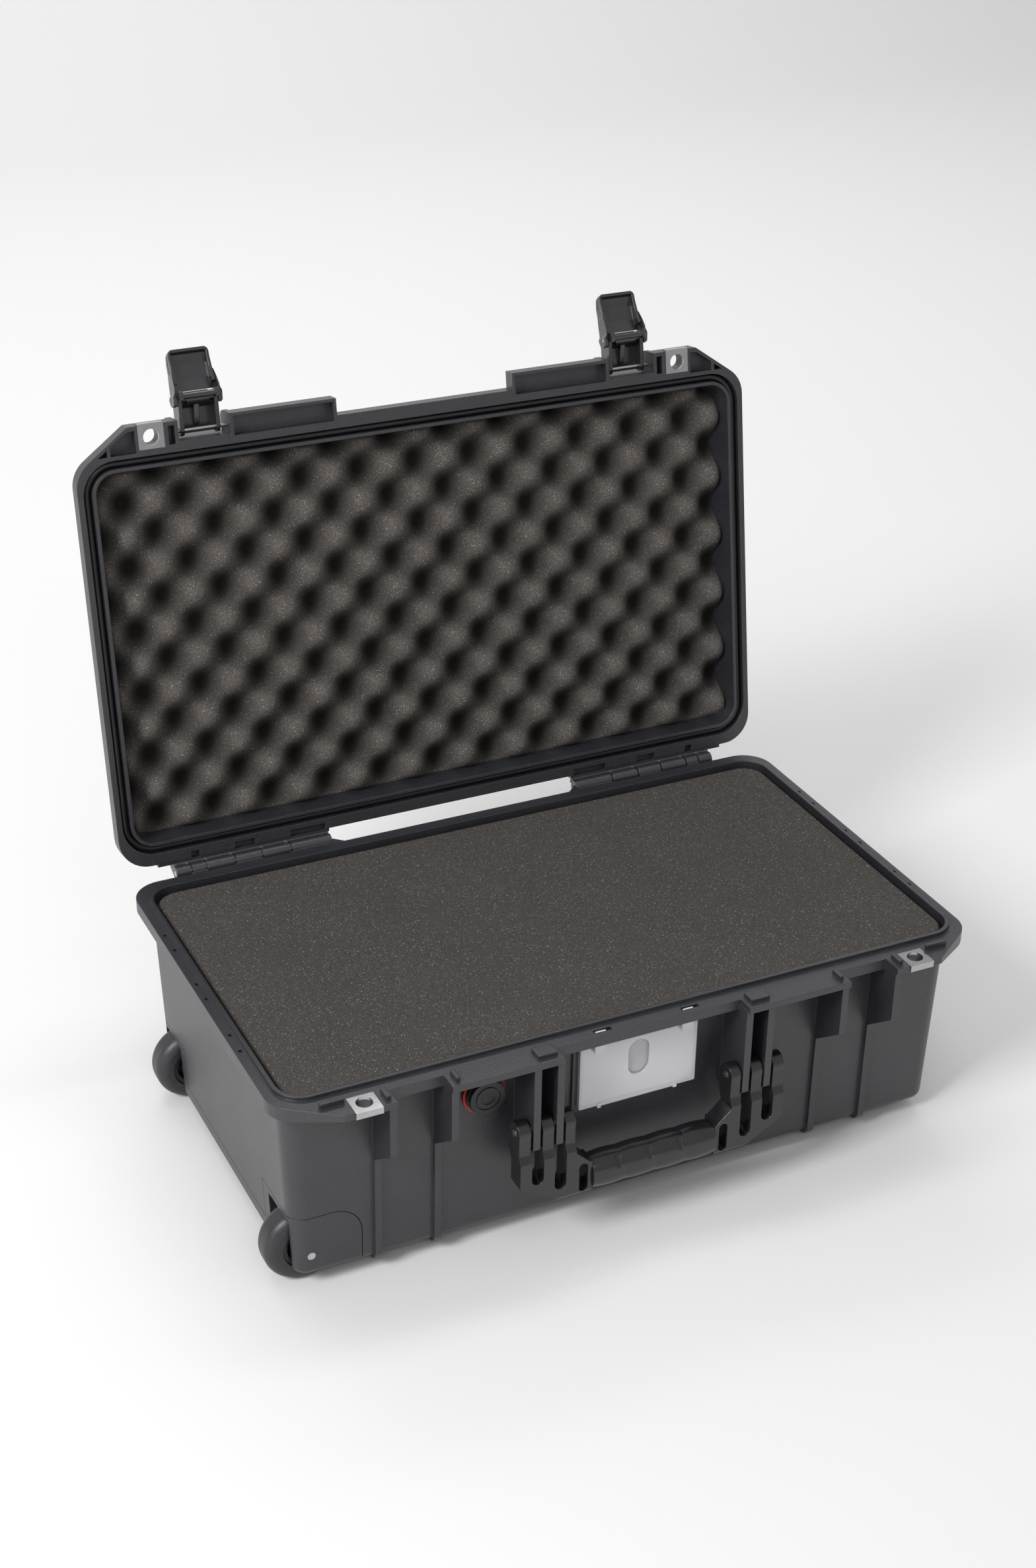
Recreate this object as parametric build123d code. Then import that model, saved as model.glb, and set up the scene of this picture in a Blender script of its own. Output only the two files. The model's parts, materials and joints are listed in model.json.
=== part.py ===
from build123d import *
import os
from math import radians, sin, cos

# Hard case with a hinged lid, two double-throw latches, two fold-down handles,
# two wheels and a pull-out handle. Millimetres. +Z up, +X to the pull-out handle's
# end, wheels at -X, front (latches, handle) at -Y. Origin: middle of the underside.
# Heights below are above the floor; the export lowers them by base_bottom_z.
# The lid and latches are modelled closed, then turned open by lid_open_angle.

# ---- overall sizes -------------------------------------------------------------
rim_z = 169.0                 # parting plane above the floor
flange_half_x = 279.0         # rim flange, half length
flange_back_y = 163.6         # rim flange, back edge
flange_front_y = 177.6        # rim flange, front edge (at -Y)
lid_height = 58.0             # lid, above the parting plane
base_bottom_z = 12.0           # underside of the base shell
lid_open_angle = 98.9         # lid opening from closed to its stop

# ---- base shell ----------------------------------------------------------------
wall = 3.5
body_half_x = flange_half_x - 9.0           # outer wall under the rim
body_half_y = 144.3
body_foot_x = body_half_x - 6.8           # outer wall at the bottom, after draft
body_foot_y = 142.6
body_corner = 14.0
bottom_round = 7.0
floor_z = 30.0                # inside floor
base_flange_t = 10.2          # rim flange, thick part
front_flange_t = 5.0          # rim flange, thin front edge
flange_corner = 24.0
opening_half_x = body_half_x - 1.7        # mouth of the base
opening_half_y = 148.4
opening_corner = 19.0
mouth_depth = 8.0             # mouth, above the step down to the walls
ridge_t = 3.0                 # sealing ridge round the mouth
ridge_h = 3.0
chamfer_x = flange_half_x - 42.0             # front corner chamfer of the rim
chamfer_y = 147.8
latch_mid_x = 178.5           # middle of a latch, from the middle of the case
bay_in = latch_mid_x - 20.0    # latch bay
bay_out = latch_mid_x + 20.0
bay_y = 162.0
card_bay_x = 73.5             # shallow bay over the card holder
card_bay_y = 164.5
rib_w = 5.5                   # fins and ribs
rib_h = 3.0
fin_front_y = 175.6
fin_front_z = 123.0           # latch fins: lower end at the front
fin_wall_z = 97.0             # and at the wall
leg_outer_x = 90.5            # handle legs
leg_inner_x = 72.5
leg_front_z = 94.5
leg_wall_z = 81.0
foot_x = body_half_x - 48.0                # feet moulded on the bottom cover's far end
foot_y = 84.0
foot_size = 24.0

# ---- lid -----------------------------------------------------------------------
rim_gap = 0.3                 # lid above base, closed
lid_flange_t = 12.0
lid_wall_x = opening_half_x + 0.5            # lid outer wall at the flange
lid_wall_y = 149.0
lid_top_x = lid_wall_x - 8.3             # and at the top
lid_top_y = 141.0
lip_half_x = lid_wall_x - 3.4            # inner face of the lid's lip
lip_half_y = 145.6
lid_corner = 24.0
lid_roof_t = 4.3
channel_clear = 0.3           # ridge to channel
channel_w = 6.5
channel_depth = 9.5
gasket_d = 5.4
gasket_gap = 0.3
pocket_depth = 9.0
pocket_wall = 2.5
lid_panel_h = 2.5             # raised bands on the lid's top

# ---- hinge ---------------------------------------------------------------------
hinge_y = 172.8
hinge_z = 166.8
knuckle_r = 5.5
hinge_pin_r = 2.0
running = 0.05                # radial clearance of pins that turn
knuckle_gap = 1.4
knuckle_ends = (109.0, 143.8, 168.2, 190.2, 214.2, 226.2, 239.5)

# ---- latches, about their pivot on the lid -------------------------------------
latch_pivot_y = -167.1
latch_pivot_z = 182.0
recess_y = 160.6             # floor of the latch recess in the lid
recess_top = 215.0           # where that floor starts to slope back to the lid's wall
latch_body_half = 15.5
latch_wall = 3.0
lever_half = 18.9
lever_ear_t = 2.7
lever_pin_y = -23.5           # from the pivot
lever_pin_z = -0.5
lever_length = 36.5
lever_tip_half = 15.8
lever_lean = 22.0             # paddle tipped back from the link, as built
hook_y = -26.5                # hook bar, from the pivot
hook_z = -7.5
hook_r = 2.4
barrel_r = 4.5
barrel_half = 9.0
latch_pin_r = 1.6

# ---- front handle --------------------------------------------------------------
pivot_y = -167.6
pivot_z = 108.6
tine_r = 8.4
tines = ((98.0, 107.0), (80.0, 88.7), (63.0, 70.8))
handle_pin_r = 2.5
handle_front_y = -178.6
handle_back_y = -163.0
handle_bottom_z = 46.5
handle_top_z = 74.0
handle_corner_x = 74.0
handle_corner_z = 66.0
knee_z = 86.4
slot_low_outer = 71.2
slot_low_inner = 61.7
grip_half = 50.0
core_t = 6.5

# ---- side handle ---------------------------------------------------------------
side_pivot_x = body_half_x + 3.7
side_pivot_z = 134.0
side_half = 50.0
side_arm_w = 9.0
side_drop = 44.0
side_lug_t = 6.0
side_pin_r = 2.2
side_arm_r = 4.3

# ---- padlock plates ------------------------------------------------------------
hole_x = flange_half_x - 59.6
hole_y = -168.3
hole_r = 6.0
plate_w = 20.0
plate_back_y = -159.4
plate_t = 2.0
plate_lip_h = 5.0
plate_lip_t = 1.0
plate_clear = 0.1

# ---- wheels --------------------------------------------------------------------
wheel_r = 29.5
wheel_x = 19.0 - body_half_x
wheel_y = 120.0
wheel_half_w = 12.0
tyre_round = 8.0
hub_r = 17.0
axle_r = 3.0
bearing_r = 8.0
bearing_w = 5.0
well_clear = 2.0
slot_in = wheel_y - wheel_half_w - 11.0
slot_out = wheel_y + wheel_half_w + 2.5
carrier_top = 2 * wheel_r + 3.7
carrier_right = wheel_x + wheel_r + 8.5
carrier_in = 86.0
carrier_round = 22.0
strip_top = 27.5
carrier_gap = 0.5

# ---- pull-out handle -----------------------------------------------------------
tube_y = 52.0
tube_w = 16.0
tube_h = 11.0
tube_wall = 1.2
tube_z = 20.5
tube_back_x = 67.0 - body_half_x
tube_front_x = body_half_x - 23.0
slide_gap = 0.25
pull_grip_x0 = body_half_x - 5.4
pull_grip_x1 = pull_grip_x0 + 12.4
pull_grip_half = 66.0
pull_grip_h = 17.0
button_half = 15.0
button_travel = 3.0
cover_t = 2.8
cover_x0 = 59.0 - body_half_x
cover_x1 = body_half_x - 27.0
cover_y = 122.0

# ---- trim ----------------------------------------------------------------------
vent_x = -120.6
vent_z = 132.3
vent_r = 14.7
card_half = 47.3
card_low = 97.5
card_high = 152.5
card_pad_t = 2.0
card_t = 3.6
thumb_half = 8.5
foam_half_x = body_foot_x - wall - 1.7
foam_half_y = 138.5
foam_corner = 12.0
foam_top_z = 168.0
foam_split_z = 100.0
pad_top_z = 40.0
foam_gap = 0.3
lid_foam_x = lip_half_x - 2.0             # at its lower face
lid_foam_y = 143.8
lid_foam_low = 176.0


# ---- helpers -------------------------------------------------------------------
def block(x0, x1, y0, y1, z0, z1):
    middle = Pos((x0 + x1) / 2, (y0 + y1) / 2, (z0 + z1) / 2)
    return middle * Box(abs(x1 - x0), abs(y1 - y0), abs(z1 - z0))


def side_prism(points, x0, x1):
    """Outline in (y, z), extruded from x0 to x1."""
    face = make_face(Polyline(*points, close=True))
    return extrude(Plane.YZ.offset(min(x0, x1)) * face, abs(x1 - x0))


def plan_prism(points, z0, z1):
    face = make_face(Polyline(*points, close=True))
    return extrude(Plane.XY.offset(z0) * face, z1 - z0)


def slab(half_x, half_y, corner, z0, z1):
    """Rounded rectangle, centred, from z0 up to z1."""
    return extrude(Plane.XY.offset(z0) * RectangleRounded(2 * half_x, 2 * half_y, corner), z1 - z0)


def tapered(low, high, corner_low, corner_high, z0, z1):
    """Drafted box: (half_x, half_y) at z0 and at z1."""
    bottom = Plane.XY.offset(z0) * RectangleRounded(2 * low[0], 2 * low[1], corner_low)
    top = Plane.XY.offset(z1) * RectangleRounded(2 * high[0], 2 * high[1], corner_high)
    return loft([bottom, top], ruled=True)


def rod_x(radius, x0, x1, y, z):
    return Pos((x0 + x1) / 2, y, z) * Rot(0, 90, 0) * Cylinder(radius, abs(x1 - x0))


def rod_y(radius, y0, y1, x, z):
    return Pos(x, (y0 + y1) / 2, z) * Rot(90, 0, 0) * Cylinder(radius, abs(y1 - y0))


def rod_z(radius, z0, z1, x, y):
    return Pos(x, y, (z0 + z1) / 2) * Cylinder(radius, abs(z1 - z0))


def mirror_x(shape):
    return mirror(shape, about=Plane.YZ)


def both(shape):
    return shape + mirror_x(shape)


def mirror_y(shape):
    return mirror(shape, about=Plane.XZ)


def open_lid(shape):
    """Turns a shape from the closed lid's place to the open one."""
    hinge = Axis((0, hinge_y, hinge_z), (1, 0, 0))
    return shape.rotate(hinge, -lid_open_angle)


def flange(z0, z1):
    """Rim flange with its front bays and chamfered front corners."""
    points = [(flange_half_x, flange_back_y), (flange_half_x, -chamfer_y),
              (chamfer_x, -flange_front_y), (bay_out, -flange_front_y), (bay_out, -bay_y),
              (bay_in, -bay_y), (bay_in, -flange_front_y), (card_bay_x, -flange_front_y),
              (card_bay_x, -card_bay_y)]
    outline = points + [(-x, y) for x, y in reversed(points)]
    shape = plan_prism(outline, z0, z1)
    upright = shape.edges().filter_by(Axis.Z)
    corners = [e for e in upright if abs(e.center().X) > flange_half_x - 1]
    shape = fillet(corners, flange_corner)
    upright = shape.edges().filter_by(Axis.Z)
    small = [e for e in upright if chamfer_x - 2 < abs(e.center().X) < chamfer_x + 2]
    return fillet(small, 3.0)


def ring(half_x, half_y, corner, thickness, z0, z1):
    outer = slab(half_x + thickness, half_y + thickness, corner + thickness, z0, z1)
    return outer - slab(half_x, half_y, corner, z0 - 1, z1 + 1)


# ---- base ----------------------------------------------------------------------
def base_outer():
    return tapered((body_foot_x, body_foot_y), (body_half_x, body_half_y),
                   body_corner - 2, body_corner, base_bottom_z, rim_z - 1)


def band(half_top, half_foot, top_z, foot_z, corner, x0):
    """Rib that wraps the shell in a plane of constant x."""
    points = [(-half_top, top_z), (-half_foot, foot_z), (half_foot, foot_z), (half_top, top_z)]
    shape = side_prism(points, x0, x0 + rib_w)
    level = shape.edges().filter_by(Axis.X)
    lower = [e for e in level if abs(e.center().Z - foot_z) < 1]
    return fillet(lower, corner)


def fin(x0, front_z, wall_z):
    top = rim_z - front_flange_t + 1
    back = -body_half_y + 3
    points = [(back, top), (-fin_front_y, top), (-fin_front_y, front_z), (back, wall_z)]
    return side_prism(points, x0, x0 + rib_w)


def well_liner(grow):
    """Space of one wheel well, grown by a margin."""
    tunnel = rod_y(wheel_r + well_clear + grow, slot_in - grow, slot_out + grow, wheel_x, wheel_r)
    mouth = block(wheel_x - 60, wheel_x, slot_in - grow, slot_out + grow,
                  -5, wheel_r)
    crown = block(wheel_x - 60, wheel_x, slot_in - grow + 6, slot_out + grow - 6, wheel_r - 1,
                  wheel_r + 29)
    return tunnel + mouth + crown


def carrier_block(grow):
    """One corner of the wheel carrier, before it is trimmed to the shell."""
    shape = block(-2 * body_half_x, carrier_right + grow, carrier_in - grow, 200, -10, carrier_top + grow)
    crest = [e for e in shape.edges().filter_by(Axis.Y)
             if e.center().Z > carrier_top - 1 and e.center().X > carrier_right - 2]
    return fillet(crest, carrier_round + grow)


def carrier_space(grow):
    corner = carrier_block(grow)
    strip = block(-300, body_foot_x * -1 + wall + grow, -carrier_in, carrier_in, -10, strip_top + grow)
    return corner + mirror_y(corner) + strip


def knuckle(x0, x1):
    return rod_x(knuckle_r, x0, x1, hinge_y, hinge_z)


def knuckle_span(index):
    """Ends of one knuckle on the +X side; even ones are on the base."""
    return knuckle_ends[index], knuckle_ends[index + 1] - knuckle_gap


def base_knuckles():
    shapes = []
    arm = [(flange_back_y - 2, rim_z - base_flange_t), (flange_back_y - 2, rim_z - 2),
           (hinge_y - knuckle_r, hinge_z + 1), (hinge_y, hinge_z),
           (hinge_y + 2, hinge_z - knuckle_r + 0.6), (hinge_y - 3, hinge_z - knuckle_r - 2)]
    for index in (0, 2, 4):
        x0, x1 = knuckle_span(index)
        shapes.append(knuckle(x0, x1) + side_prism(arm, x0, x1))
    toe = plan_prism([(98.7, flange_back_y - 1), (109.5, flange_back_y - 1), (109.5, hinge_y)],
                     rim_z - base_flange_t + 1, hinge_z + 2)
    total = toe
    for shape in shapes:
        total = total + shape
    return total


def base_shell():
    body = base_outer()
    lower = [e for e in body.edges() if abs(e.center().Z - base_bottom_z) < 0.1]
    body = fillet(lower, bottom_round)
    rim = flange(rim_z - base_flange_t, rim_z)
    slope = [(-body_half_y - 12, rim_z - base_flange_t), (-flange_front_y - 3, rim_z - base_flange_t),
             (-flange_front_y - 3, rim_z - front_flange_t), (-flange_front_y, rim_z - front_flange_t)]
    rim = rim - side_prism(slope, -300, 300)
    rim = rim + ring(opening_half_x, opening_half_y, opening_corner, ridge_t, rim_z - 1, rim_z + ridge_h)
    shell = body + rim
    for x0 in (bay_out, bay_in - rib_w):
        strap = band(body_half_y + rib_h, body_foot_y + rib_h, rim_z - 6, base_bottom_z - rib_h,
                     bottom_round + rib_h, x0)
        shell = shell + both(strap + fin(x0, fin_front_z, fin_wall_z))
    for x0 in (leg_outer_x, leg_inner_x):
        shell = shell + both(fin(x0, leg_front_z, leg_wall_z))
    shell = shell + block(-card_half - 4, card_half + 4, -body_half_y - card_pad_t + 0.4, -body_half_y + 4,
                          card_low - 4, card_high + 4)
    shell = shell + both(base_knuckles())
    # mouth and inside
    cavity = tapered((body_foot_x - wall, body_foot_y - wall), (body_half_x - wall, body_half_y - wall),
                     body_corner - wall - 2, body_corner - wall, floor_z, rim_z - mouth_depth + 0.5)
    inner_block = carrier_block(wall) + mirror_y(carrier_block(wall))
    liner = well_liner(wall + carrier_gap)
    cavity = cavity - inner_block - liner - mirror_y(liner)
    shell = shell - cavity
    shell = shell - slab(opening_half_x, opening_half_y, opening_corner, rim_z - mouth_depth, rim_z + 9)
    # underside pocket for the pull-out handle, closed by the bottom cover
    shell = shell - block(-300 + 88, cover_x1 - 4, -cover_y + 4, cover_y - 4,
                          base_bottom_z - 9, floor_z - wall)
    shell = shell - block(cover_x0 - carrier_gap, cover_x1 + carrier_gap, -cover_y - carrier_gap,
                          cover_y + carrier_gap, base_bottom_z - 9, base_bottom_z + cover_t)
    for side in (-1, 1):
        shell = shell - block(cover_x1 - 10, 300, side * tube_y - tube_w / 2 - slide_gap,
                              side * tube_y + tube_w / 2 + slide_gap,
                              tube_z - tube_h / 2 - slide_gap, tube_z + tube_h / 2 + slide_gap)
    shell = shell - carrier_space(carrier_gap)
    # locating tabs on the rim
    tabs = block(chamfer_x - 5, chamfer_x + 12.7, -164.3, -161.8, rim_z - 1, rim_z + 4)
    tabs = tabs + block(bay_out + 3.5, bay_out + 7.1, -173.0, -162.5, rim_z - 1, rim_z + 3.5)
    tabs = tabs + block(151.2, 154.2, -173.0, -162.5, rim_z - 1, rim_z + 3.5)
    tabs = tabs + block(77.2, 92.2, -172.6, -161.6, rim_z - 1, rim_z + 3.0)
    shell = shell + both(tabs)
    for y in (-78.0, -57.0, -7.0, 14.0, 64.0, 86.0):
        shell = shell - both(block(flange_half_x - 5.6, flange_half_x - 3.4, y - 1.8, y + 1.8,
                                   rim_z - 2.0, rim_z + 1))
    for x in (-35.0, 35.0):
        shell = shell - block(x - 7, x + 7, -159.5, -156.0, rim_z - 14, rim_z + 1)
    # padlock holes and plate seats
    seat = block(hole_x - plate_w / 2, hole_x + plate_w / 2, -flange_front_y - 3, plate_back_y,
                 rim_z - plate_t, rim_z + 2)
    shell = shell - both(seat + rod_z(hole_r, rim_z - 20, rim_z + 5, hole_x, hole_y))
    # pins, side lugs, vent hole
    shell = shell - both(rod_x(handle_pin_r, leg_inner_x - 20, leg_outer_x + 20, pivot_y, pivot_z))
    first, last = knuckle_ends[0] + 3, knuckle_ends[-1]
    shell = shell - both(rod_x(hinge_pin_r, first, last, hinge_y, hinge_z))
    shell = shell + side_lugs()
    shell = shell - rod_y(6.0, -body_half_y - 8, -body_half_y + 12, vent_x, vent_z)
    return shell


def side_lugs():
    """Lugs that hold the side handle's pins, on the +X wall."""
    points = [(body_half_x - 4, side_pivot_z + 9), (side_pivot_x, side_pivot_z + side_arm_r),
              (side_pivot_x + side_arm_r, side_pivot_z), (side_pivot_x, side_pivot_z - side_arm_r),
              (body_half_x - 4, side_pivot_z - 9)]
    face = make_face(Polyline(*points, close=True))
    total = None
    for inner in (side_half - side_arm_w - side_lug_t - 0.4, side_half + 0.4):
        lug = extrude(Plane.XZ.offset(-inner) * face, -side_lug_t)
        pair = lug + mirror_y(lug)
        total = pair if total is None else total + pair
    bores = rod_y(side_pin_r, -80, 80, side_pivot_x, side_pivot_z)
    return total - bores


def wheel_carrier():
    solid = base_outer()
    lower = [e for e in solid.edges() if abs(e.center().Z - base_bottom_z) < 0.1]
    solid = fillet(lower, bottom_round)
    shape = solid & carrier_space(0)
    well = well_liner(0)
    shape = shape - well - mirror_y(well)
    inner = block(-2 * body_half_x, carrier_right - 3, carrier_in + 3, slot_in - 3.5, -10, carrier_top - 5)
    inner = inner & block(-body_foot_x + 3, 0, 0, 200, -10, 200)
    shape = shape - inner - mirror_y(inner)
    axle = rod_y(axle_r, slot_in - 3.5, 160, wheel_x, wheel_r)
    shape = shape - axle - mirror_y(axle)
    return shape


def bottom_cover():
    plate = block(cover_x0, cover_x1, -cover_y, cover_y, base_bottom_z, base_bottom_z + cover_t)
    plate = fillet(plate.edges().filter_by(Axis.Z), 8)
    foot = block(foot_x - foot_size / 2, foot_x + foot_size / 2, foot_y - foot_size / 2,
                 foot_y + foot_size / 2, 0, base_bottom_z + 1)
    foot = fillet(foot.edges().filter_by(Axis.Z), 5.0)
    foot = foot - block(foot_x - 8, foot_x + 8, foot_y - 8, foot_y + 8, -1, 0.8)
    plate = plate + foot + mirror_y(foot)
    for x, y in cover_screw_places():
        plate = plate - rod_z(2.2, 0, 20, x, y) - rod_z(4.3, 0, base_bottom_z + 1.5, x, y)
    for y in (-86, -20, 20, 86):
        plate = plate - block(cover_x0 + 31, cover_x1 - 28, y - 2, y + 2,
                              base_bottom_z - 1, base_bottom_z + 0.8)
    return plate


def cover_screw_places():
    return [(x, y) for x in (cover_x0 + 21, -45, 90, cover_x1 - 15) for y in (-108, 108)]


def cover_screws():
    total = None
    for x, y in cover_screw_places():
        shank = rod_z(2.0, base_bottom_z + 1, base_bottom_z + 10, x, y)
        head = rod_z(4.0, base_bottom_z + 0.1, base_bottom_z + 1.5, x, y)
        screw = shank + head - rod_z(1.4, base_bottom_z - 1, base_bottom_z + 1.0, x, y)
        total = screw if total is None else total + screw
    return total


def padlock_plate(z_face, up):
    """Wear plate on a rim face; up is +1 on the base and -1 on the lid."""
    clear = plate_clear
    front = -flange_front_y - plate_lip_t
    z0, z1 = sorted((z_face, z_face - up * (plate_t - clear)))
    plate = block(hole_x - plate_w / 2 + clear, hole_x + plate_w / 2 - clear, front,
                  plate_back_y - clear, z0, z1)
    z0, z1 = sorted((z_face, z_face - up * plate_lip_h))
    lip = block(hole_x - plate_w / 2 + clear, hole_x + plate_w / 2 - clear, front,
                -flange_front_y, z0, z1)
    return plate + lip - rod_z(hole_r, z_face - 9, z_face + 9, hole_x, hole_y)


# ---- lid, closed ---------------------------------------------------------------
def lid_shell():
    low = rim_z + rim_gap
    top = rim_z + lid_height
    body = tapered((lid_wall_x, lid_wall_y), (lid_top_x, lid_top_y), lid_corner, lid_corner - 2,
                   low + 2, top)
    upper = [e for e in body.edges() if abs(e.center().Z - top) < 0.1]
    body = fillet(upper, bottom_round)
    for x0 in (bay_out, bay_in - rib_w):
        points = [(-lid_wall_y - rib_h, low + 6), (-lid_top_y - rib_h, top + lid_panel_h),
                  (lid_top_y + rib_h, top + lid_panel_h), (lid_wall_y + rib_h, low + 6)]
        strap = side_prism(points, x0, x0 + rib_w)
        crest = [e for e in strap.edges().filter_by(Axis.X) if e.center().Z > top]
        body = body + both(fillet(crest, bottom_round + rib_h))
    shell = body + flange(low, low + lid_flange_t)
    ledge = side_prism([(flange_back_y - 2, low), (hinge_y - 6.6, low + 0.4),
                        (hinge_y - 6.6, low + 8), (flange_back_y - 2, low + lid_flange_t)], 108, 250)
    shell = shell + both(ledge) + both(hinge_skirt())
    shell = shell + both(lid_knuckles())
    for index in (0, 2, 4):
        x0, x1 = knuckle_span(index)
        shell = shell - both(block(x0 + 2.0, x1 - 2.0, 158.6, 164.4, low - 1, low + 6))
    for x0, x1 in ((bay_in - 4, bay_in), (bay_out, bay_out + 4)):
        lug = side_prism([(-144, low + 3), (-177.4, low + 3), (-177.4, latch_pivot_z + 4),
                          (-176.0, latch_pivot_z + 7.4), (-172.6, latch_pivot_z + 9.4),
                          (-144, latch_pivot_z + 10)], x0, x1)
        shell = shell + both(lug)
    recess = block(bay_in - 1, bay_out + 1, -recess_y, -recess_y + 3, low + 2, latch_pivot_z + 10)
    boss = side_prism([(-recess_y, latch_pivot_z + 7), (-recess_y, recess_top), (-142, recess_top + 10),
                       (-142, latch_pivot_z + 7)], bay_in - 1, bay_out + 1)
    shell = shell + both(recess + boss)
    cavity = tapered((lip_half_x, lip_half_y), (lid_top_x - wall - 0.5, lid_top_y - wall),
                     lid_corner - 8, lid_corner - 6, low - 1, top - lid_roof_t)
    core = side_prism([(-recess_y + wall, latch_pivot_z + 10), (-recess_y + wall, recess_top - 1),
                       (-140, recess_top + 5), (-140, latch_pivot_z + 10)], bay_in + 2, bay_out - 2)
    shell = shell - cavity - both(core)
    inner = opening_half_x - channel_clear
    shell = shell - ring(inner, opening_half_y - channel_clear, opening_corner, channel_w,
                         low - 1, rim_z + channel_depth)
    shell = shell - both(lid_pockets(low))
    seat = block(hole_x - plate_w / 2, hole_x + plate_w / 2, -flange_front_y - 3, plate_back_y,
                 low - 2, low + plate_t)
    shell = shell - both(seat + rod_z(hole_r, low - 2, low + 20, hole_x, hole_y))
    shell = shell - both(rod_x(latch_pin_r, bay_in - 2.5, bay_out + 2.5, latch_pivot_y, latch_pivot_z))
    first, last = knuckle_ends[0] + 3, knuckle_ends[-1]
    shell = shell - both(rod_x(hinge_pin_r + running, first, last, hinge_y, hinge_z))
    return shell


def hinge_skirt():
    """Curved apron on the lid that covers the base's knuckles from above."""
    near, far = knuckle_r + 0.4, knuckle_r + 2.6
    turns = [radians(a) for a in (108, 118, 128, 138, 148, 157)]
    arc = [(hinge_y + near * cos(a), hinge_z + near * sin(a)) for a in turns]
    back = [(hinge_y + far * cos(a), hinge_z + far * sin(a)) for a in reversed(turns)]
    return side_prism(arc + back, knuckle_ends[0], knuckle_ends[-1] - knuckle_gap)


def lid_knuckles():
    low = rim_z + rim_gap
    arm = [(flange_back_y - 1, low + 4), (flange_back_y - 1, low + lid_flange_t),
           (hinge_y - 2, low + lid_flange_t - 2), (hinge_y + knuckle_r, hinge_z + 1),
           (hinge_y, hinge_z), (hinge_y - knuckle_r + 0.4, hinge_z + 1)]
    total = None
    for index in (1, 3, 5):
        x0, x1 = knuckle_span(index)
        shape = knuckle(x0, x1) + side_prism(arm, x0, x1)
        shape = shape - block(x0 + 2.4, x1 - 2.4, flange_back_y + 0.6, hinge_y - knuckle_r + 0.4,
                              low - 2, low + 8)
        total = shape if total is None else total + shape
    return total


def lid_pockets(low):
    """Cored pockets in the lid's front rim, open towards the base, at +X."""
    z0, z1 = low - 1, low + pocket_depth
    front = -flange_front_y + pocket_wall
    back = -(opening_half_y + channel_w + 2.6)
    box = block(card_bay_x + pocket_wall, bay_in - 3, front, -bay_y + 1.5, z0, z1)
    slot = block(bay_out + 2.6, bay_out + 7.6, front + 0.6, -bay_y + 1.5, z0, z1)
    edge = 3.2
    slope = (flange_front_y - chamfer_y) / (flange_half_x - chamfer_x)

    def chamfer_edge(x):
        return -flange_front_y + edge + max(0.0, (x - chamfer_x) * slope)

    left, bend, right, next_left = chamfer_x - 5.5, chamfer_x + 1.0, chamfer_x + 14.0, chamfer_x + 16.6
    wide = plan_prism([(left, chamfer_edge(left)), (bend, chamfer_edge(bend)),
                       (right, chamfer_edge(right)), (right, back), (left, back)], z0, z1)
    tip = (back - chamfer_edge(next_left)) / slope + next_left
    small = plan_prism([(next_left, chamfer_edge(next_left)), (tip, back), (next_left, back)], z0, z1)
    return box + slot + wide + small


def lid_gasket():
    """Round-section seal in the lid's channel, as a closed loop."""
    path_x = opening_half_x - channel_clear + channel_w / 2
    path_y = opening_half_y - channel_clear + channel_w / 2
    corner = opening_corner + channel_w / 2
    z = rim_z + ridge_h + gasket_gap + gasket_d / 2
    path = Plane.XY.offset(z) * RectangleRounded(2 * path_x, 2 * path_y, corner)
    section = Plane.XZ * (Pos(path_x, z) * Circle(gasket_d / 2))
    return sweep(section, path=path.faces()[0].outer_wire())


def latch_place(y, z):
    return latch_pivot_y + y, latch_pivot_z + z


def latch_body():
    """Channel link of one latch at +X, pointing forwards from its pivot."""
    x0, x1 = latch_mid_x - latch_body_half, latch_mid_x + latch_body_half
    nose_r = barrel_r - 0.3
    nose = [(lever_pin_y + nose_r * cos(radians(a)), lever_pin_z + nose_r * sin(radians(a)))
            for a in (190, 160, 132, 104, 78)]
    outline = [(0.0, -4.3), (-22.6, -4.3), (-23.9, -10.6), (-27.0, -11.6), (-30.4, -9.2), (-30.4, -6.0)]
    outline = outline + nose + [(-18.0, 6.0), (-16.5, 9.5), (-2.0, 9.5), (3.2, 4.4), (4.5, 0.0),
                                (3.2, -3.2)]
    outline = [latch_place(y, z) for y, z in outline]
    total = None
    for a, b in ((x0, x0 + latch_wall), (x1 - latch_wall, x1)):
        cheek = side_prism(outline, a, b)
        total = cheek if total is None else total + cheek
    web = [(-16.3, 9.3), (-20.6, 2.6), (-18.6, 1.4), (-14.6, 7.0), (-1.4, 6.6), (2.4, 2.6), (3.4, 4.0),
           (-1.4, 9.3)]
    total = total + side_prism([latch_place(y, z) for y, z in web], x0, x1)
    rib = [(-18.0, 3.0), (-18.0, 1.0), (-2.4, 4.4), (-2.4, 8.0), (-14.0, 8.0)]
    total = total + side_prism([latch_place(y, z) for y, z in rib], latch_mid_x - 2, latch_mid_x + 2)
    y, z = latch_place(hook_y, hook_z)
    total = total + rod_x(hook_r, x0 + 1, x1 - 1, y, z)
    y, z = latch_place(lever_pin_y, lever_pin_z)
    total = total + rod_x(barrel_r, latch_mid_x - barrel_half, latch_mid_x + barrel_half, y, z)
    total = total + rod_x(3.0, x0 + 1.5, x1 - 1.5, y, z)
    y, z = latch_place(0, 0)
    total = total - rod_x(latch_pin_r + running, x0 - 1, x1 + 1, y, z)
    y, z = latch_place(lever_pin_y, lever_pin_z)
    return total - rod_x(latch_pin_r + running, x0 - 1, x1 + 1, y, z)


def from_lever_pin(points):
    return [latch_place(lever_pin_y + y, lever_pin_z + z) for y, z in points]


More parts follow.
